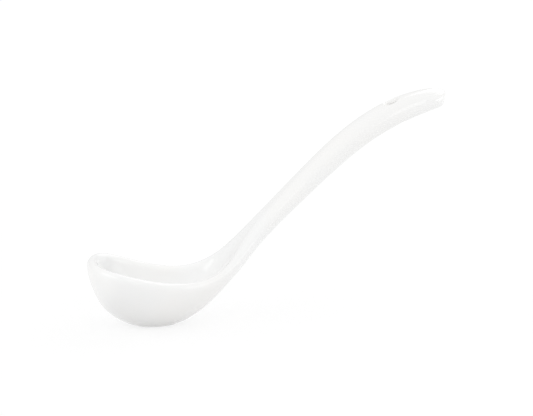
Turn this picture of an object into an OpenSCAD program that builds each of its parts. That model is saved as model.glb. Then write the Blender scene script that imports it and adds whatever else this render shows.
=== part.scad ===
// Glazed porcelain soup spoon: deep bowl on a flat foot, channelled neck and long rising handle.
// The clay is one curved sheet. A guide line runs from the tip along the rim and up the handle's edges,
// and at every station along it the sheet hangs below the line as an arc, thickened to both sides.
// +X runs from the tip to the handle, +Z is up, and the foot stands on z = 0 under the bowl.

/* [Overall] */
// Length that the guide line's stations are shares of
guide_run = 170; // [160:1:180]
// Height of the guide line at the handle's end
guide_rise = 101; // [96:1:106]

/* [Bowl] */
// Width of the bowl across the middle of its wall
bowl_w = 46; // [43:0.5:49]
// Depth of the sheet below the rim
bowl_deep = 24; // [22:0.5:26]
// Thickness of the bowl's wall
wall_t = 4.8; // [4.2:0.1:5.4]
// Length over which the rim rounds off
rim_round = 3.2; // [2.6:0.1:3.8]
// Clay ground off the round bottom to make the flat foot
foot_grind = 1.1; // [0.8:0.05:1.4]
// Height of bare clay between the foot and the glaze
foot_bare = 0.5; // [0.3:0.05:0.7]

/* [Handle] */
// Width of the handle
handle_w = 16; // [14:0.5:18]
// Thickness of the handle
handle_t = 11.6; // [10.4:0.2:12.8]
// Length over which the handle's edges round off
handle_round = 8; // [7:0.25:9]
// Bore of the hanging hole
hole_d = 5.2; // [4:0.2:6.4]
// Place of the hanging hole along the spoon
hole_share = 0.84; // [0.82:0.005:0.88]

/* [Joint and glaze] */
// Place of the joint between bowl and handle along the spoon
joint_share = 0.6; // [0.56:0.01:0.64]
// Thickness of the slip in the joint
slip_t = 0.6; // [0.4:0.1:1]
// Thickness of the glaze
glaze_t = 0.35; // [0.25:0.05:0.45]

/* [Fineness] */
// Rings from the tip to the joint
bowl_rings = 40; // [32:2:42]
// Rings from the joint to the handle's end
handle_rings = 16; // [12:1:18]
// Steps across each quarter of a ring
quarter_steps = 10; // [8:1:11]

/* [Hidden] */
// Stations are even steps along the guide line, first the tip and last the handle's end.
// Place along the guide line's run, counted from the foot
run_shares = [-0.149, -0.142, -0.104, -0.03, 0.06, 0.136, 0.21, 0.278, 0.377, 0.47, 0.57, 0.68, 0.789, 0.82];
// Height along the guide line
rise_shares = [0.311, 0.311, 0.307, 0.265, 0.228, 0.231, 0.288, 0.4, 0.552, 0.698, 0.84, 0.94, 0.988, 0.977];
// Half width: share of the bowl's and share of the handle's
bowl_w_shares = [0, 0.5, 0.93, 0.9, 0.72, 0.66, 0.53, 0.1, 0, 0, 0, 0, 0, 0];
handle_w_shares = [0, 0, 0, 0, 0, 0, 0.35, 0.8, 1, 0.97, 1, 1.04, 0.9, 0];
// Depth of the sheet below the guide line
deep_shares = [0, 0.42, 0.69, 0.965, 0.95, 0.455, 0.115, 0.025, 0.005, 0, 0, 0, 0, 0];
// Angle through which the sheet turns from its middle to its edge
turn_angles = [88, 88, 88, 88, 88, 84, 72, 45, 20, 5, 5, 5, 5, 5];
// How far thickness and edge rounding have gone from the bowl's to the handle's
stout_shares = [0, 0, 0, 0, 0.05, 0.1, 0.1, 0.46, 0.6, 0.86, 1, 1, 0.72, 0.25];
// How strongly the steps across a ring crowd towards its edges, and the rings towards both ends
crowd = 1.8;
end_crowd = 1.3;
// Colours of the clay, the slip and the glaze
clay_color = [0.93, 0.91, 0.87];
slip_color = [0.86, 0.83, 0.78];
glaze_color = [0.97, 0.97, 0.96];
// How far cutting bodies run past what they cut
overrun = 10;
// Steps round the hanging hole
hole_fn = 64;
// Step along the guide line over which its direction is taken
probe_share = 0.002;

last = len(run_shares) - 1;
half_steps = 2 * quarter_steps;
ring_steps = 4 * quarter_steps;

function unit(v) = v / norm(v);
function sum(v) = v * [for (x = v) 1];

// Control value i of a list that is mirrored at both ends, with the sign turned where it is odd
function control(list, i, sign) =
    i < 0 ? sign * list[-i] : i > last ? sign * list[2 * last - i] : list[i];

// Smooth curve through the stations' control values at a share u of the way
function spline(list, u, sign) =
    let (t = u * last, i = min(floor(t), last - 1), f = t - i)
    (pow(1 - f, 3) * control(list, i - 1, sign)
    + (3 * pow(f, 3) - 6 * f * f + 4) * control(list, i, sign)
    + (-3 * pow(f, 3) + 3 * f * f + 3 * f + 1) * control(list, i + 1, sign)
    + pow(f, 3) * control(list, i + 2, sign)) / 6;

// Point of the guide line in the XZ plane, and its direction there
function guide(u) = [guide_run * spline(run_shares, u, 1), 0, guide_rise * spline(rise_shares, u, 1)];
function guide_dir(u) = unit(guide(u + probe_share) - guide(u - probe_share));

function half_width(u) =
    (bowl_w * spline(bowl_w_shares, u, -1) + handle_w * spline(handle_w_shares, u, -1)) / 2;
function depth(u) = bowl_deep * spline(deep_shares, u, -1);
function turn(u) = spline(turn_angles, u, 1);
function between(from, to, share) = from + (to - from) * share;
function half_thick(u) = between(wall_t, handle_t, spline(stout_shares, u, 1)) / 2;
function edge_round(u) = between(rim_round, handle_round, spline(stout_shares, u, 1));

// Places across the sheet, from one edge to the other
places = [for (j = [-quarter_steps:quarter_steps])
    sign(j) * (1 - pow(1 - abs(j) / quarter_steps, crowd))];

// Way of the sheet's point at place f sideways and below the guide line
function across(u, f) = half_width(u) * sin(f * turn(u)) / sin(turn(u));
function drop(u, f) = depth(u) * (cos(f * turn(u)) - cos(turn(u))) / (1 - cos(turn(u)));

// Way in from the sheet's edge, taken in the direction that the sheet has at its edge
function way_in(u, f) =
    max(0, drop(u, f) * sin(turn(u)) + (half_width(u) - abs(across(u, f))) * cos(turn(u)));

// Middle of the sheet at station u: an arc of points that hangs below the guide line
function sheet_arc(u) =
    let (p = guide(u), d = guide_dir(u))
    [for (f = places) p + [d.z * drop(u, f), across(u, f), -d.x * drop(u, f)]];

// Stations of the rings: the bowl's end at the near side of the slip, the handle's start at its far side
guide_speed = norm(guide(joint_share + probe_share) - guide(joint_share - probe_share)) / (2 * probe_share);
slip_share = slip_t / guide_speed;
handle_share = 1 - joint_share - slip_share;
stations = concat(
    [for (i = [1:bowl_rings]) joint_share * pow(i / bowl_rings, end_crowd)],
    [for (i = [handle_rings:-1:1]) 1 - handle_share * pow(i / handle_rings, end_crowd)]);
ring_count = len(stations);
joint_ring = bowl_rings;
tip = guide(0);
tail = guide(1);

// The sheet with its two end points, and the direction square to it on its upper side
arcs = [for (u = stations) sheet_arc(u)];
function sheet_point(i, j) = i < 0 ? tip : i >= ring_count ? tail : arcs[i][j];
function sheet_up(i, j) = unit(cross(
    sheet_point(i + 1, j) - sheet_point(i - 1, j),
    arcs[i][min(j + 1, half_steps)] - arcs[i][max(j - 1, 0)]));

// Half thickness along a ring: full inside, rounding off to nothing at both edges. A sheet that lies flat and is
// narrower than its edges' rounding is thinner too, so that it ends in a round nose.
function thickness(i) =
    let (u = stations[i], round = edge_round(u),
        edge = between(min(round, way_in(u, 0)), round, sin(turn(u))),
        full = half_thick(u) * sqrt(1 - pow(1 - edge / round, 2)))
    [for (f = places) full * sqrt(1 - pow(max(0, 1 - way_in(u, f) / edge), 2))];

// One ring of the glazed surface: the underside from edge to edge, then the upper side back again
function glaze_ring(i) =
    let (arc = arcs[i], half = thickness(i))
    concat(
        [for (j = [0:half_steps]) arc[j] - half[j] * sheet_up(i, j)],
        [for (j = [half_steps - 1:-1:1]) arc[j] + half[j] * sheet_up(i, j)]);
glaze_rings = [for (i = [0:ring_count - 1]) glaze_ring(i)];

// The clay's surface lies one glaze thickness inside the glazed surface
function glaze_point(i, k) =
    i < 0 ? tip : i >= ring_count ? tail : glaze_rings[i][(k + ring_steps) % ring_steps];
function inward(i, k) = unit(cross(
    glaze_point(i + 1, k) - glaze_point(i - 1, k),
    glaze_point(i, k + 1) - glaze_point(i, k - 1)));
function mean(points) = [for (x = [0:2]) sum([for (p = points) p[x]])] / len(points);
clay_rings = [for (i = [0:ring_count - 1])
    [for (k = [0:ring_steps - 1]) glaze_rings[i][k] + glaze_t * inward(i, k)]];
clay_tip = tip + glaze_t * unit(mean(glaze_rings[0]) - tip);
clay_tail = tail + glaze_t * unit(mean(glaze_rings[ring_count - 1]) - tail);

// The foot is ground where the clay is lowest, and that plane becomes z = 0
keel_heights = [for (ring = clay_rings) ring[quarter_steps].z];
foot_z = min(keel_heights) + foot_grind;
foot_ring = search(min(keel_heights), keel_heights)[0];

// Faces between neighbouring rings of a stack, leaving out one window of steps and rings
function ring_faces(count, window) = [for (r = [0:count - 2], k = [0:ring_steps - 1])
    let (a = r * ring_steps + k, b = r * ring_steps + (k + 1) % ring_steps)
    if (!in_window(r, k, window)) each [[a, b + ring_steps, b], [a, a + ring_steps, b + ring_steps]]];
function in_window(r, k, window) =
    len(window) > 0 && r >= window[0] && r < window[1] && k >= window[2] && k < window[3];
function tip_faces(first, point) = [for (k = [0:ring_steps - 1])
    [point, first + k, first + (k + 1) % ring_steps]];
function flip(faces) = [for (f = faces) [f[2], f[1], f[0]]];

// Flat closing of a ring: a strip between its underside and its upper side
function cap_faces(first) = [for (j = [0:half_steps - 1])
    let (a = first + j, b = a + 1, d = first + (ring_steps - j) % ring_steps, c = first + ring_steps - j - 1)
    each concat(b == c ? [] : [[a, b, c]], a == d ? [] : [[a, c, d]])];

// Clay between two rings of the spoon
module clay(from, to) {
    stack = [for (i = [from:to]) each clay_rings[i]];
    count = to - from + 1;
    first = ring_steps * (count - 1);
    at_tip = from == 0;
    at_tail = to == ring_count - 1;
    start = at_tip ? tip_faces(0, len(stack)) : cap_faces(0);
    end = flip(at_tail ? tip_faces(first, len(stack)) : cap_faces(first));
    ends = concat(at_tip ? [clay_tip] : [], at_tail ? [clay_tail] : []);
    translate([0, 0, -foot_z])
        polyhedron(concat(stack, ends), concat(ring_faces(count, []), start, end));
}

// Points of a closed surface: all its rings, then its two end points
function skin_points(stack, start, end) = concat([for (ring = stack) each ring], [start, end]);
function skin_faces(window) = concat(
    ring_faces(ring_count, window),
    tip_faces(0, skin_size - 2),
    flip(tip_faces(ring_steps * (ring_count - 1), skin_size - 1)));
skin_size = ring_steps * ring_count + 2;

// Window under the foot where the glaze's two surfaces are joined, so that the coat is one closed skin
window = [foot_ring - 1, foot_ring + 1, quarter_steps - 1, quarter_steps + 1];
function at(r, k) = r * ring_steps + k;
function window_edges() = concat(
    [for (k = [window[2]:window[3] - 1]) each [
        [at(window[0], k + 1), at(window[0], k)],
        [at(window[1], k), at(window[1], k + 1)]]],
    [for (r = [window[0]:window[1] - 1]) each [
        [at(r, window[2]), at(r + 1, window[2])],
        [at(r + 1, window[3]), at(r, window[3])]]]);
function window_faces() = [for (e = window_edges()) each [
    [e[0], e[1], e[1] + skin_size],
    [e[0], e[1] + skin_size, e[0] + skin_size]]];
function shifted(faces, by) = [for (f = faces) [for (i = f) i + by]];

// Glaze all round the clay, still closed over the foot but for the window
module glaze_skin() {
    outside = skin_points(glaze_rings, tip, tail);
    inside = skin_points(clay_rings, clay_tip, clay_tail);
    faces = skin_faces(window);
    translate([0, 0, -foot_z])
        polyhedron(concat(outside, inside), concat(faces, flip(shifted(faces, skin_size)), window_faces()));
}

// Block that takes away everything below a height
module below(height) {
    translate([-guide_run, -bowl_w, height - overrun])
        cube([2 * guide_run, 2 * bowl_w, overrun]);
}

// Straight hanging hole, square to the handle
module hanging_hole() {
    place = guide(hole_share) - [0, 0, foot_z];
    dir = guide_dir(hole_share);
    translate(place)
        rotate([0, -atan2(dir.z, dir.x), 0])
            cylinder(h = handle_t + 2 * overrun, d = hole_d, center = true, $fn = hole_fn);
}

// Bowl of fired clay with its foot ground flat
module bowl() {
    color(clay_color) difference() {
        clay(0, joint_ring - 1);
        below(0);
    }
}

// Handle of fired clay with the hanging hole
module handle() {
    color(clay_color) difference() {
        clay(joint_ring, ring_count - 1);
        hanging_hole();
    }
}

// Fired slip between bowl and handle
module slip_joint() {
    color(slip_color) clay(joint_ring - 1, joint_ring);
}

// Glaze over all but the foot and the hanging hole
module glaze_coat() {
    color(glaze_color) difference() {
        glaze_skin();
        below(foot_bare);
        hanging_hole();
    }
}

bowl();
handle();
slip_joint();
glaze_coat();
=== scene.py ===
"""Glazed porcelain soup spoon, dressed in the CAD frame.

The visible skins follow the same loft as the solids, only finer: a guide line runs from the tip along the
rim and up the handle's edges, and the clay hangs below it as a sheet that is thickened to both sides. Sizes
are in millimetres until a mesh is made, and the scene is in metres.
"""
import math

import bmesh
import bpy
import numpy as np
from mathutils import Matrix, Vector


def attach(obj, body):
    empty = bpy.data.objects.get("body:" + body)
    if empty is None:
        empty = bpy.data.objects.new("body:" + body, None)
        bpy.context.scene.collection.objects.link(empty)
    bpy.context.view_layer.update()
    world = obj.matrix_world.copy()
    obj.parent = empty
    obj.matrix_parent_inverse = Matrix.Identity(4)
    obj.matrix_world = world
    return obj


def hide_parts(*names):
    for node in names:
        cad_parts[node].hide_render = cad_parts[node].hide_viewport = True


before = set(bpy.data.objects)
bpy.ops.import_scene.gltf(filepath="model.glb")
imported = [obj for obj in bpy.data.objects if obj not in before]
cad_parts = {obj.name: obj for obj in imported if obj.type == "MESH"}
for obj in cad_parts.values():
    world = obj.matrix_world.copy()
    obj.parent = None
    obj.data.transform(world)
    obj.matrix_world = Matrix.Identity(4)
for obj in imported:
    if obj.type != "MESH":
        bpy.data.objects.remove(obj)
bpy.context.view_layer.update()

MM = 0.001

# Driving sizes, the same as the solids'
GUIDE_RUN = 170
GUIDE_RISE = 101
BOWL_W = 46
BOWL_DEEP = 24
WALL_T = 4.8
RIM_ROUND = 3.2
FOOT_GRIND = 1.1
FOOT_BARE = 0.5
HANDLE_W = 16
HANDLE_T = 11.6
HANDLE_ROUND = 8
HOLE_D = 5.2
HOLE_SHARE = 0.84
JOINT_SHARE = 0.6
SLIP_T = 0.6
GLAZE_T = 0.35

# Control values at even steps along the guide line, from the tip to the handle's end
RUN_SHARES = [-0.149, -0.142, -0.104, -0.03, 0.06, 0.136, 0.21, 0.278, 0.377, 0.47, 0.57, 0.68, 0.789, 0.82]
RISE_SHARES = [0.311, 0.311, 0.307, 0.265, 0.228, 0.231, 0.288, 0.4, 0.552, 0.698, 0.84, 0.94, 0.988, 0.977]
BOWL_W_SHARES = [0, 0.5, 0.93, 0.9, 0.72, 0.66, 0.53, 0.1, 0, 0, 0, 0, 0, 0]
HANDLE_W_SHARES = [0, 0, 0, 0, 0, 0, 0.35, 0.8, 1, 0.97, 1, 1.04, 0.9, 0]
DEEP_SHARES = [0, 0.42, 0.69, 0.965, 0.95, 0.455, 0.115, 0.025, 0.005, 0, 0, 0, 0, 0]
TURN_ANGLES = [88, 88, 88, 88, 88, 84, 72, 45, 20, 5, 5, 5, 5, 5]
STOUT_SHARES = [0, 0, 0, 0, 0.05, 0.1, 0.1, 0.46, 0.6, 0.86, 1, 1, 0.72, 0.25]

# Soft lip that the glaze makes round the hanging hole, and how far its bead runs past its edge at the foot
HOLE_LIP = 2.2
BEAD_RUN = 0.2

# Fineness: rings along the spoon, steps round a ring, and steps over a rounded lip
GLAZE_RINGS = 300
CLAY_RINGS = 160
SLIP_RINGS = 3
RING_STEPS = 128
LIP_STEPS = 9
BEAD_STEPS = 4
# Share of a ring's steps that its rounded edges take: in the bowl, and added where the edge is all of it
EDGE_STEPS_SHARE = 0.35
EDGE_MORE_SHARE = 0.4
# Most of the sheet that a rounded edge may take
EDGE_LIMIT_SHARE = 0.9
# How strongly the rings crowd towards the spoon's ends
END_CROWD = 1.5
# Plain skin kept between the grid and the hole's lip, and height of it round the foot
LIP_MARGIN = 1.6
FOOT_MARGIN = 2.5
# Rings of plain skin from the grid to an opening, and where in its window the foot's edge is first sought
MARGIN_RINGS = 3
FOOT_START_SHARE = 0.7
# Step over which directions are taken, and rounds in which a place on the surface is solved
PROBE_SHARE = 0.001
SOLVE_ROUNDS = 5
# Steps in which the sheet's reach is measured, across it and along the spoon
REACH_STEPS = 24
REACH_STATIONS = 4001
# Stretch of the spoon in which its lowest point is looked for, and steps of that search
LOW_START_SHARE = 0.1
LOW_END_SHARE = 0.5
LOW_STEPS = 400

# Colours
GLAZE_COOL = (0.93, 0.933, 0.931, 1)
GLAZE_WARM = (0.94, 0.934, 0.922, 1)
GLAZE_POOL = (0.9, 0.915, 0.915, 1)
GLAZE_THIN = (0.945, 0.938, 0.922, 1)
IRON_SPECK = (0.45, 0.4, 0.33, 1)
CLAY_LIGHT = (0.82, 0.79, 0.73, 1)
CLAY_DARK = (0.72, 0.69, 0.63, 1)
CLAY_RUBBED = (0.5, 0.48, 0.45, 1)
SLIP_LIGHT = (0.74, 0.7, 0.63, 1)
SLIP_DARK = (0.66, 0.62, 0.55, 1)
FLOOR_LIGHT = (0.85, 0.85, 0.85, 1)
FLOOR_SHADE = (0.82, 0.82, 0.82, 1)
WORLD_COLOR = (1, 1, 1, 1)

# Range that soft noise mostly keeps to
NOISE_LOW = 0.35
NOISE_HIGH = 0.65

# Glaze: sizes of its clouds, sheen, wave and peel, its roughness, and how deep wave and peel go
CLOUD_SIZE = 30
SHEEN_SIZE = 12
WAVE_SIZE = 16
PEEL_SIZE = 1.6
PEEL_SHARE = 0.03
GLAZE_BUMP = 0.12
GLAZE_ROUGH = (0.029, 0.051)
GLAZE_IOR = 1.5
# Pointedness of the surface from flat to hollow and from flat to sharp, and the glaze's share of tint there
POOL_POINTED = (0.5, 0.46)
THIN_POINTED = (0.53, 0.6)
TINT_SHARE = 0.5
# Iron specks in the glaze: loose spacing, size, share of the places that have one, and strength
SPECK_SPACING = 5
SPECK_SIZE = 0.3
SPECK_CHOSEN = 0.06
SPECK_SHARE = 0.35
# Bare clay: its grain, and the rub marks with the noise at which they start and are full
GRAIN_SIZE = 0.35
CLAY_BUMP = 0.06
CLAY_ROUGH = (0.725, 0.875)
RUB_SIZE = 3
RUB_RANGE = (0.55, 0.75)
RUB_SHARE = 0.35
# Slip and the floor's paper
STREAK_SIZE = 1.5
SLIP_BUMP = 0.05
SLIP_ROUGH = (0.625, 0.775)
FIBRE_SIZE = 2

# Light of the surroundings, half the floor's width, and a hair's gap that keeps it off the foot's face
WORLD_LIGHT = 0.78
FLOOR_HALF = 6000
FLOOR_GAP = 0.02
# How white the floor is shown, and the share of that whiteness near the spoon and far from it
FLOOR_WHITE = 1.04
FLOOR_NEAR = 150
FLOOR_FAR = 1200
FLOOR_NEAR_SHARE = 0.8
FLOOR_FAR_SHARE = 1
# In reflections it is all white round the foot, and this share of white from the near distance on
FLOOR_FOOT = 40
FLOOR_MIRRORED_SHARE = 0.4

# Softboxes at one distance: name, azimuth, elevation, width, height and radiance
LAMP_DISTANCE = 800
LAMPS = [
    ("left window", -75, 32, 1100, 360, 1.3),
    ("front strip", 18, 30, 360, 480, 0.95),
    ("right", 75, 3, 600, 160, 2.4),
    ("right back", 125, 42, 900, 600, 0.85),
]

# Camera: the photograph's frame in pixels, the viewing angle, and the scale at the place that it looks at
PHOTO_W = 533
SENSOR_W = 36
VIEW_AZIMUTH = -13.76
VIEW_ELEVATION = 12.64
VIEW_DISTANCE = 900
VIEW_TARGET = (54.23, 0, 50.45)
MM_PER_PIXEL = 0.451
CLIP_START = 10


def spline(values, u, sign=1):
    """Smooth curve that follows control values without passing through each. They are mirrored at both ends,
    with the sign turned where the curve is odd."""
    last = len(values) - 1
    before = [sign * values[2], sign * values[1]]
    after = [sign * values[-2], sign * values[-3]]
    padded = np.concatenate([before, values, after])
    t = np.asarray(u, float) * last
    i = np.clip(np.floor(t).astype(int), -1, last)
    f = t - i
    weights = ((1 - f) ** 3, 3 * f ** 3 - 6 * f ** 2 + 4, -3 * f ** 3 + 3 * f ** 2 + 3 * f + 1, f ** 3)
    return sum(w * padded[i + k + 1] for k, w in enumerate(weights)) / 6


def unit(v):
    return v / np.linalg.norm(v, axis=-1, keepdims=True)


def guide(u):
    """Point of the guide line in the middle plane."""
    run = GUIDE_RUN * spline(RUN_SHARES, u)
    return np.stack([run, 0 * run, GUIDE_RISE * spline(RISE_SHARES, u)], -1)


def guide_dir(u):
    return unit(guide(u + PROBE_SHARE) - guide(u - PROBE_SHARE))


def guide_speed(u):
    """Length of guide line for a whole share."""
    return np.linalg.norm(guide(u + PROBE_SHARE) - guide(u - PROBE_SHARE)) / (2 * PROBE_SHARE)


def stout(u, thin, thick):
    """Size that goes from the bowl's to the handle's along the spoon."""
    return thin + (thick - thin) * spline(STOUT_SHARES, u)


def turn(u):
    """Angle through which the sheet turns from its middle to its edge."""
    return np.radians(spline(TURN_ANGLES, u))


def half_width(u):
    return (BOWL_W * spline(BOWL_W_SHARES, u, -1) + HANDLE_W * spline(HANDLE_W_SHARES, u, -1)) / 2


def across(u, f):
    """Way of the sheet's point sideways, at a place f from edge -1 to edge 1."""
    return half_width(u) * np.sin(f * turn(u)) / np.sin(turn(u))


def drop(u, f):
    """Way of the sheet's point below the guide line."""
    edge = np.cos(turn(u))
    return BOWL_DEEP * spline(DEEP_SHARES, u, -1) * (np.cos(f * turn(u)) - edge) / (1 - edge)


def way_in(u, f):
    """Way in from the sheet's edge, taken in the direction that the sheet has at its edge."""
    return drop(u, f) * np.sin(turn(u)) + (half_width(u) - np.abs(across(u, f))) * np.cos(turn(u))


def sheet(u, f):
    """Middle of the clay at a share u of the way and a place f across."""
    along = guide_dir(u)
    down = drop(u, f)
    return guide(u) + np.stack([along[..., 2] * down, across(u, f), -along[..., 0] * down], -1)


def sheet_up(u, f):
    """Direction square to the sheet on its upper side."""
    along = sheet(u + PROBE_SHARE, f) - sheet(u - PROBE_SHARE, f)
    sideways = sheet(u, f + PROBE_SHARE) - sheet(u, f - PROBE_SHARE)
    return unit(np.cross(along, sideways))


def measure_reach(u):
    """Length of the sheet from its middle to its edge."""
    arc = np.stack([sheet(u, f) for f in np.linspace(0, 1, REACH_STEPS + 1)])
    return np.linalg.norm(np.diff(arc, axis=0), axis=-1).sum(0)


# The sheet's reach, measured once at close steps from just before the tip to just past the handle's end
REACH_SHARES = np.linspace(-2 * PROBE_SHARE, 1 + 2 * PROBE_SHARE, REACH_STATIONS)
REACHES = measure_reach(REACH_SHARES)


def skin(u, t):
    """Point of the glazed surface. Round a ring, t is 0 at the underside's middle, 1 and 3 at the edges and
    2 at the upper side's middle."""
    u = np.asarray(u, float)
    t = np.mod(t, 4)
    reach = np.interp(u, REACH_SHARES, REACHES)
    edge_round = stout(u, RIM_ROUND, HANDLE_ROUND)
    zone = np.minimum(edge_round, reach * EDGE_LIMIT_SHARE)
    edge_steps = EDGE_STEPS_SHARE + EDGE_MORE_SHARE * zone / reach
    from_edge = np.abs(np.where(t < 2, t - 1, t - 3))
    rounding = np.minimum(from_edge / edge_steps, 1) * math.pi / 2
    inside = np.maximum(from_edge - edge_steps, 0) / (1 - edge_steps)
    distance = zone * (1 - np.cos(rounding)) + (reach - zone) * inside
    place = np.where(t < 2, 1, -1) * (1 - distance / reach)
    narrow = np.minimum(edge_round, way_in(u, 0))
    edge = narrow + (edge_round - narrow) * np.sin(turn(u))
    full = stout(u, WALL_T, HANDLE_T) / 2 * np.sqrt(1 - (1 - edge / edge_round) ** 2)
    half = full * np.sqrt(1 - np.clip(1 - way_in(u, place) / edge, 0, 1) ** 2)
    side = np.where((t > 1) & (t < 3), 1, -1)
    return sheet(u, place) + (side * half)[..., None] * sheet_up(u, place)


def skin_out(u, t):
    """Direction square to the glazed surface, pointing out of it."""
    along = skin(u + PROBE_SHARE, t) - skin(u - PROBE_SHARE, t)
    around = skin(u, t + PROBE_SHARE) - skin(u, t - PROBE_SHARE)
    return unit(np.cross(around, along))


def surface(u, t, inset):
    """Glazed surface, or the clay's at an inset under it."""
    if inset == 0:
        return skin(u, t)
    return skin(u, t) - inset * skin_out(u, t)


# Height of the ground foot on the guide line's own scale, which becomes z = 0
LOW_SHARES = np.linspace(LOW_START_SHARE, LOW_END_SHARE, LOW_STEPS)
FOOT_Z = surface(LOW_SHARES, 0.0, GLAZE_T)[:, 2].min() + FOOT_GRIND

# Share of the way that the slip takes
SLIP_SHARE = SLIP_T / guide_speed(JOINT_SHARE)

# The hanging hole's own frame: its middle, the way along the handle, the way across it and up its axis
HOLE_MIDDLE = guide(HOLE_SHARE)
HOLE_ALONG = guide_dir(HOLE_SHARE)
HOLE_ACROSS = np.array([0.0, 1.0, 0.0])
HOLE_UP = np.cross(HOLE_ALONG, HOLE_ACROSS)


def hole_plane(points):
    """Places along and across the handle, counted from the hole's axis."""
    offset = points - HOLE_MIDDLE
    return np.stack([offset @ HOLE_ALONG, offset @ HOLE_ACROSS], -1)


def solve(miss, u, t, inset):
    """Shares u and places t at which both misses of the surface's points are zero, found from near ones."""
    for _ in range(SOLVE_ROUNDS):
        here = miss(surface(u, t, inset))
        by_u = (miss(surface(u + PROBE_SHARE, t, inset)) - here) / PROBE_SHARE
        by_t = (miss(surface(u, t + PROBE_SHARE, inset)) - here) / PROBE_SHARE
        det = by_u[:, 0] * by_t[:, 1] - by_t[:, 0] * by_u[:, 1]
        u = u - (here[:, 0] * by_t[:, 1] - by_t[:, 0] * here[:, 1]) / det
        t = t - (by_u[:, 0] * here[:, 1] - here[:, 0] * by_u[:, 1]) / det
    return u, t


class Shell:
    """Grid of rings on the spoon's surface, with the points and faces of a skin put together from it."""

    def __init__(self, us, inset):
        self.inset = inset
        self.at_tip = us[0] == 0
        self.at_tail = us[-1] == 1
        self.us = us[int(self.at_tip):len(us) - int(self.at_tail)]
        self.ts = np.arange(RING_STEPS) * 4 / RING_STEPS
        self.points = []
        self.faces = []
        self.taken = set()
        self.creases = []
        self.grid = surface(self.us[:, None], self.ts[None, :], inset)
        self.number = np.reshape(self.add(self.grid), self.grid.shape[:2])

    def add(self, points):
        """Adds points and returns their numbers."""
        points = np.reshape(points, (-1, 3))
        first = len(self.points)
        self.points.extend(points)
        return list(range(first, first + len(points)))

    def join(self, ring_a, ring_b):
        """Faces between two closed rings of point numbers."""
        for k, n in enumerate(list(range(1, len(ring_a))) + [0]):
            self.faces.append((ring_a[k], ring_a[n], ring_b[n], ring_b[k]))

    def add_ring(self, ring, points):
        """Adds a ring of points inside another one."""
        inner = self.add(points)
        self.join(ring, inner)
        return inner

    def fan(self, ring, middle):
        """Faces from a closed ring to one point."""
        number = self.add(middle)[0]
        for k, n in enumerate(list(range(1, len(ring))) + [0]):
            self.faces.append((ring[k], ring[n], number))

    def window(self, rows, columns):
        """Takes a window out of the grid. Returns its edge, once round: point numbers, shares and places."""
        (top, bottom), (left, right) = rows, columns
        loop = ([(top, c) for c in range(left, right)] + [(r, right) for r in range(top, bottom)]
                + [(bottom, c) for c in range(right, left, -1)] + [(r, left) for r in range(bottom, top, -1)])
        self.taken |= {(r, c % RING_STEPS) for r in range(top, bottom) for c in range(left, right)}
        r = np.array([place[0] for place in loop])
        c = np.array([place[1] for place in loop])
        return list(self.number[r, c % RING_STEPS]), self.us[r], c * 4 / RING_STEPS

    def reach_in(self, ring, u, t, to_u, to_t):
        """Rings of plain skin from a window's edge to places inside it."""
        for share in np.linspace(0, 1, MARGIN_RINGS + 1)[1:]:
            ring = self.add_ring(ring, surface(u + (to_u - u) * share, t + (to_t - t) * share, self.inset))
        return ring

    def close(self):
        """Faces of the grid that are left, and both ends: rounded at the spoon's own, flat where cut."""
        for r in range(len(self.us) - 1):
            for c in range(RING_STEPS):
                n = (c + 1) % RING_STEPS
                if (r, c) not in self.taken:
                    self.faces.append((self.number[r, c], self.number[r, n],
                                       self.number[r + 1, n], self.number[r + 1, c]))
        for ring, share, rounded in ((0, 0.0, self.at_tip), (-1, 1.0, self.at_tail)):
            middle = self.grid[ring].mean(0)
            if rounded:
                middle = guide(share) + self.inset * unit(middle - guide(share))
            else:
                self.creases.append(list(self.number[ring]))
            self.fan(list(self.number[ring]), middle)


def hole_side(shell, rows, columns, radius, side):
    """One side of the hanging hole, from a window in the grid over the rounded lip to the bore."""
    ring, u, t = shell.window(rows, columns)
    round_dir = unit(hole_plane(surface(u, t, shell.inset)))
    for angle in np.linspace(0, math.pi / 2, LIP_STEPS):
        target = round_dir * (radius + HOLE_LIP * (1 - math.sin(angle)))
        depth = HOLE_LIP * (1 - math.cos(angle))
        to_u, to_t = solve(lambda points: hole_plane(points) - target, u, t, shell.inset)
        if angle == 0:
            ring = shell.reach_in(ring, u, t, to_u, to_t)
        else:
            ring = shell.add_ring(ring, surface(to_u, to_t, shell.inset) - side * depth * HOLE_UP)
        u, t = to_u, to_t
    return ring


def pierce(shell, radius):
    """Hanging hole through both sides of the handle, with its straight wall."""
    reach = radius + HOLE_LIP + LIP_MARGIN
    span = reach / guide_speed(HOLE_SHARE)
    rows = (int(np.searchsorted(shell.us, HOLE_SHARE - span)) - 1,
            int(np.searchsorted(shell.us, HOLE_SHARE + span)))
    half = RING_STEPS // 2
    sideways = np.abs(hole_plane(surface(HOLE_SHARE, shell.ts, shell.inset))[:, 1])
    width = next(k for k in range(1, half) if sideways[half - k] > reach)
    upper = hole_side(shell, rows, (half - width, half + width), radius, 1)
    lower = hole_side(shell, rows, (-width, width), radius, -1)
    count = 2 * width
    mirrored = list(range(count, -1, -1)) + list(range(len(lower) - 1, count, -1))
    shell.join(upper, [lower[k] for k in mirrored])


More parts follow.
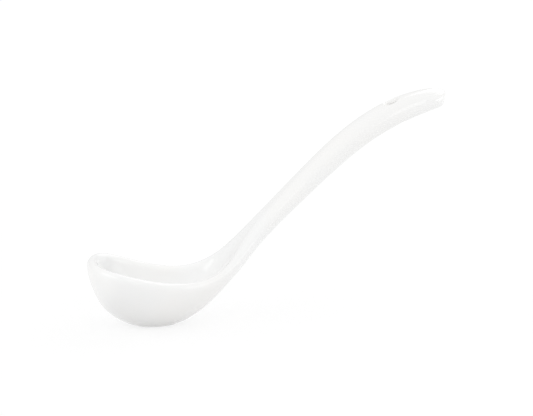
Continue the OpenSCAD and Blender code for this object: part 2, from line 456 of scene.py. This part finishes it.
def open_foot(shell, height):
    """Opening of the skin round the foot at a height. Returns its ring, shares and places."""
    level = FOOT_Z + height
    keel = surface(shell.us, 0.0, shell.inset)[:, 2]
    lowest = int(np.argmin(keel))
    low = np.flatnonzero(keel < level + FOOT_MARGIN)
    heights = surface(shell.us[lowest], shell.ts, shell.inset)[:, 2]
    width = next(k for k in range(1, RING_STEPS) if heights[k] > level + FOOT_MARGIN)
    ring, u, t = shell.window((low[0], low[-1]), (-width, width))
    middle = surface(shell.us[lowest], 0.0, shell.inset)
    way = unit((surface(u, t, shell.inset) - middle)[:, :2])

    def miss(points):
        offset = points - middle
        return np.stack([offset[:, 0] * way[:, 1] - offset[:, 1] * way[:, 0], points[:, 2] - level], -1)

    start_u = shell.us[lowest] + (u - shell.us[lowest]) * FOOT_START_SHARE
    to_u, to_t = solve(miss, start_u, t * FOOT_START_SHARE, shell.inset)
    return shell.reach_in(ring, u, t, to_u, to_t), to_u, to_t


def shares(start, end, count):
    """Shares of the way for the rings, crowded towards the spoon's own ends."""
    step = np.linspace(0, 1, count)
    if start == 0 and end == 1:
        step = np.where(step < 0.5, (2 * step) ** END_CROWD / 2, 1 - (2 - 2 * step) ** END_CROWD / 2)
    elif start == 0:
        step = step ** END_CROWD
    elif end == 1:
        step = 1 - (1 - step) ** END_CROWD
    return start + (end - start) * step


def make_piece(shell, name, node, material):
    """Smooth mesh object of a closed shell, in metres with the foot on z = 0. It stands for a CAD node."""
    shell.close()
    points = (np.array(shell.points) - [0, 0, FOOT_Z]) * MM
    bm = bmesh.new()
    used = {number for face in shell.faces for number in face}
    verts = {number: bm.verts.new(points[number]) for number in sorted(used)}
    for face in shell.faces:
        bm.faces.new([verts[i] for i in face]).smooth = True
    bmesh.ops.recalc_face_normals(bm, faces=bm.faces)
    for ring in shell.creases:
        for k, number in enumerate(ring):
            bm.edges.get((verts[number], verts[ring[k - 1]])).smooth = False
    mesh = bpy.data.meshes.new(name)
    bm.to_mesh(mesh)
    bm.free()
    mesh.materials.append(material)
    piece = bpy.data.objects.new(name, mesh)
    bpy.context.scene.collection.objects.link(piece)
    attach(piece, "root")
    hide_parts(node)
    return piece


def glaze_piece():
    """Glaze over all but the foot, with its edge there rolled in to the clay as a small bead."""
    shell = Shell(shares(0, 1, GLAZE_RINGS), 0)
    pierce(shell, HOLE_D / 2)
    ring, u, t = open_foot(shell, FOOT_BARE)
    edge = surface(u, t, 0)
    out = skin_out(u, t)
    inwards = edge.mean(0) - edge
    inwards = unit(inwards - out * (inwards * out).sum(-1, keepdims=True))
    for angle in np.linspace(0, math.pi / 2, BEAD_STEPS + 1)[1:]:
        points = edge - out * GLAZE_T * (1 - math.cos(angle)) + inwards * BEAD_RUN * math.sin(angle)
        ring = shell.add_ring(ring, points)
    return make_piece(shell, "glaze", "glaze_coat", glaze_material())


def bowl_piece(clay):
    """Clay of the bowl with its flat ground foot."""
    shell = Shell(shares(0, JOINT_SHARE, CLAY_RINGS), GLAZE_T)
    ring, u, t = open_foot(shell, 0)
    shell.creases.append(ring)
    shell.fan(ring, surface(u, t, GLAZE_T).mean(0))
    return make_piece(shell, "bowl_clay", "bowl", clay)


def handle_piece(clay):
    """Clay of the handle, which the glaze lines all the way through the hanging hole."""
    shell = Shell(shares(JOINT_SHARE + SLIP_SHARE, 1, CLAY_RINGS), GLAZE_T)
    pierce(shell, HOLE_D / 2 + GLAZE_T)
    return make_piece(shell, "handle_clay", "handle", clay)


def slip_piece():
    """Fired slip between bowl and handle."""
    shell = Shell(np.linspace(JOINT_SHARE, JOINT_SHARE + SLIP_SHARE, SLIP_RINGS), GLAZE_T)
    return make_piece(shell, "slip", "slip_joint", slip_material())


class Paint:
    """Node material while it is put together."""

    def __init__(self, name):
        self.material = bpy.data.materials.new(name)
        self.material.use_nodes = True
        self.tree = self.material.node_tree
        self.tree.nodes.clear()

    def node(self, kind, inputs, **settings):
        """Adds a node, with each input set to a value or linked to another node's output."""
        made = self.tree.nodes.new(kind)
        for name, value in settings.items():
            setattr(made, name, value)
        for name, value in inputs.items():
            if isinstance(value, bpy.types.NodeSocket):
                self.tree.links.new(value, made.inputs[name])
            else:
                made.inputs[name].default_value = value
        return made

    def place(self):
        return self.node("ShaderNodeTexCoord", {}).outputs["Object"]

    def noise(self, place, size, detail):
        """Soft noise with features of about a size in millimetres."""
        inputs = {"Vector": place, "Scale": 1 / (size * MM), "Detail": detail}
        return self.node("ShaderNodeTexNoise", inputs).outputs["Fac"]

    def remap(self, value, from_low, from_high, to_low, to_high):
        inputs = {"Value": value, "From Min": from_low, "From Max": from_high,
                  "To Min": to_low, "To Max": to_high}
        return self.node("ShaderNodeMapRange", inputs).outputs["Result"]

    def spread(self, noise, low, high):
        """Soft noise brought to a range of its own."""
        return self.remap(noise, NOISE_LOW, NOISE_HIGH, low, high)

    def math(self, operation, a, b):
        return self.node("ShaderNodeMath", {0: a, 1: b}, operation=operation).outputs["Value"]

    def mix(self, factor, color_a, color_b):
        """Mix of two colours. The node's colour sockets are told apart from its others by their numbers."""
        inputs = {"Factor": factor, 6: color_a, 7: color_b}
        return self.node("ShaderNodeMix", inputs, data_type="RGBA").outputs[2]

    def specks(self, place, spacing, size, chosen_share):
        """Mask of a few round specks of a size, on some of the cells of a loose pattern."""
        cells = self.node("ShaderNodeTexVoronoi", {"Vector": place, "Scale": 1 / (spacing * MM)})
        pick = self.node("ShaderNodeSeparateColor", {"Color": cells.outputs["Color"]}).outputs["Red"]
        chosen = self.math("LESS_THAN", pick, chosen_share)
        radius = size / spacing / 2
        dot = self.remap(cells.outputs["Distance"], radius / 2, radius, 1, 0)
        return self.math("MULTIPLY", chosen, dot)

    def finish(self, color, roughness, height, bump, **constants):
        """Shader with a colour, a roughness and a bump of a depth in millimetres."""
        normal = self.node("ShaderNodeBump", {"Height": height, "Distance": bump * MM}).outputs["Normal"]
        inputs = {"Base Color": color, "Roughness": roughness, "Normal": normal}
        inputs.update({name.replace("_", " "): value for name, value in constants.items()})
        shader = self.node("ShaderNodeBsdfPrincipled", inputs)
        self.node("ShaderNodeOutputMaterial", {"Surface": shader.outputs["BSDF"]})
        return self.material


def glaze_material():
    """Clear gloss glaze on white porcelain: faint clouds, a cool tint where it gathers, a warm one on thin
    edges, a few pale iron specks, and a slow wave and fine peel in its surface."""
    paint = Paint("glaze")
    place = paint.place()
    clouds = paint.spread(paint.noise(place, CLOUD_SIZE, 3), 0, 1)
    color = paint.mix(clouds, GLAZE_COOL, GLAZE_WARM)
    pointed = paint.node("ShaderNodeNewGeometry", {}).outputs["Pointiness"]
    color = paint.mix(paint.remap(pointed, *POOL_POINTED, 0, TINT_SHARE), color, GLAZE_POOL)
    color = paint.mix(paint.remap(pointed, *THIN_POINTED, 0, TINT_SHARE), color, GLAZE_THIN)
    specks = paint.specks(place, SPECK_SPACING, SPECK_SIZE, SPECK_CHOSEN)
    color = paint.mix(paint.math("MULTIPLY", specks, SPECK_SHARE), color, IRON_SPECK)
    roughness = paint.spread(paint.noise(place, SHEEN_SIZE, 4), *GLAZE_ROUGH)
    wave = paint.noise(place, WAVE_SIZE, 1)
    peel = paint.math("MULTIPLY", paint.noise(place, PEEL_SIZE, 0), PEEL_SHARE)
    height = paint.math("ADD", wave, peel)
    return paint.finish(color, roughness, height, GLAZE_BUMP, IOR=GLAZE_IOR)


def clay_material():
    """Unglazed fired porcelain: dry and matte, with fine grain and grey rub marks."""
    paint = Paint("clay")
    place = paint.place()
    grain = paint.noise(place, GRAIN_SIZE, 4)
    color = paint.mix(paint.spread(grain, 0, 1), CLAY_LIGHT, CLAY_DARK)
    rubbed = paint.remap(paint.noise(place, RUB_SIZE, 5), *RUB_RANGE, 0, RUB_SHARE)
    color = paint.mix(rubbed, color, CLAY_RUBBED)
    return paint.finish(color, paint.spread(grain, *CLAY_ROUGH), grain, CLAY_BUMP)


def slip_material():
    """Fired slip: a little darker and smoother than the clay that it joins."""
    paint = Paint("slip")
    place = paint.place()
    streaks = paint.noise(place, STREAK_SIZE, 4)
    color = paint.mix(paint.spread(streaks, 0, 1), SLIP_LIGHT, SLIP_DARK)
    return paint.finish(color, paint.spread(streaks, *SLIP_ROUGH), streaks, SLIP_BUMP)


def floor_material():
    """Plain white paper that keeps the spoon's shadow. It is shown white to the camera, less so near the
    spoon, and in reflections round the foot."""
    paint = Paint("floor")
    place = paint.place()
    color = paint.mix(paint.spread(paint.noise(place, FIBRE_SIZE, 4), 0, 1), FLOOR_LIGHT, FLOOR_SHADE)
    paper = paint.node("ShaderNodeBsdfDiffuse", {"Color": color})
    away = paint.node("ShaderNodeVectorMath", {0: place}, operation="LENGTH").outputs["Value"]
    shown = paint.remap(away, FLOOR_NEAR * MM, FLOOR_FAR * MM, FLOOR_NEAR_SHARE, FLOOR_FAR_SHARE)
    mirrored = paint.remap(away, FLOOR_FOOT * MM, FLOOR_NEAR * MM, 1, FLOOR_MIRRORED_SHARE)
    rays = paint.node("ShaderNodeLightPath", {}).outputs
    straight = paint.math("MAXIMUM", rays["Is Camera Ray"], rays["Is Transmission Ray"])
    straight = paint.math("MULTIPLY", straight, shown)
    mirrored = paint.math("MULTIPLY", rays["Is Glossy Ray"], mirrored)
    factor = paint.math("MAXIMUM", straight, mirrored)
    glow = paint.node("ShaderNodeEmission", {"Strength": FLOOR_WHITE})
    inputs = {0: factor, 1: paper.outputs["BSDF"], 2: glow.outputs["Emission"]}
    both = paint.node("ShaderNodeMixShader", inputs)
    paint.node("ShaderNodeOutputMaterial", {"Surface": both.outputs["Shader"]})
    return paint.material


def direction(azimuth, elevation):
    """Way from the spoon towards a place round it: azimuth 0 is in front, 90 at the handle's side."""
    a, e = math.radians(azimuth), math.radians(elevation)
    return Vector((math.sin(a) * math.cos(e), -math.cos(a) * math.cos(e), math.sin(e)))


def aim(thing, azimuth, elevation, distance, target):
    """Puts a camera or a lamp at a place round a target and turns it to that."""
    away = direction(azimuth, elevation)
    thing.location = Vector(target) * MM + away * distance * MM
    thing.rotation_euler = away.to_track_quat("Z", "Y").to_euler()
    bpy.context.scene.collection.objects.link(thing)


def add_camera():
    """Camera at the photograph's viewing angle."""
    data = bpy.data.cameras.new("camera")
    data.sensor_width = SENSOR_W
    data.lens = VIEW_DISTANCE * SENSOR_W / PHOTO_W / MM_PER_PIXEL
    data.clip_start = CLIP_START * MM
    camera = bpy.data.objects.new("camera", data)
    aim(camera, VIEW_AZIMUTH, VIEW_ELEVATION, VIEW_DISTANCE, VIEW_TARGET)
    bpy.context.scene.camera = camera


def add_softbox(name, azimuth, elevation, width, height, radiance):
    """Evenly glowing rectangle that faces the spoon."""
    data = bpy.data.lights.new(name, "AREA")
    data.shape = "RECTANGLE"
    data.size = width * MM
    data.size_y = height * MM
    data.energy = radiance * math.pi * data.size * data.size_y
    aim(bpy.data.objects.new(name, data), azimuth, elevation, LAMP_DISTANCE, VIEW_TARGET)


def add_floor():
    """Wide floor under the foot."""
    bm = bmesh.new()
    bmesh.ops.create_grid(bm, x_segments=1, y_segments=1, size=FLOOR_HALF * MM)
    mesh = bpy.data.meshes.new("floor")
    bm.to_mesh(mesh)
    bm.free()
    mesh.materials.append(floor_material())
    floor = bpy.data.objects.new("floor", mesh)
    floor.location.z = -FLOOR_GAP * MM
    bpy.context.scene.collection.objects.link(floor)


def add_world():
    """Even pale surroundings."""
    world = bpy.data.worlds.new("studio")
    world.use_nodes = True
    background = world.node_tree.nodes["Background"]
    background.inputs["Color"].default_value = WORLD_COLOR
    background.inputs["Strength"].default_value = WORLD_LIGHT
    bpy.context.scene.world = world


glaze_piece()
clay = clay_material()
bowl_piece(clay)
handle_piece(clay)
slip_piece()
add_floor()
add_world()
for lamp in LAMPS:
    add_softbox(*lamp)
add_camera()
bpy.context.scene.view_settings.view_transform = "Standard"
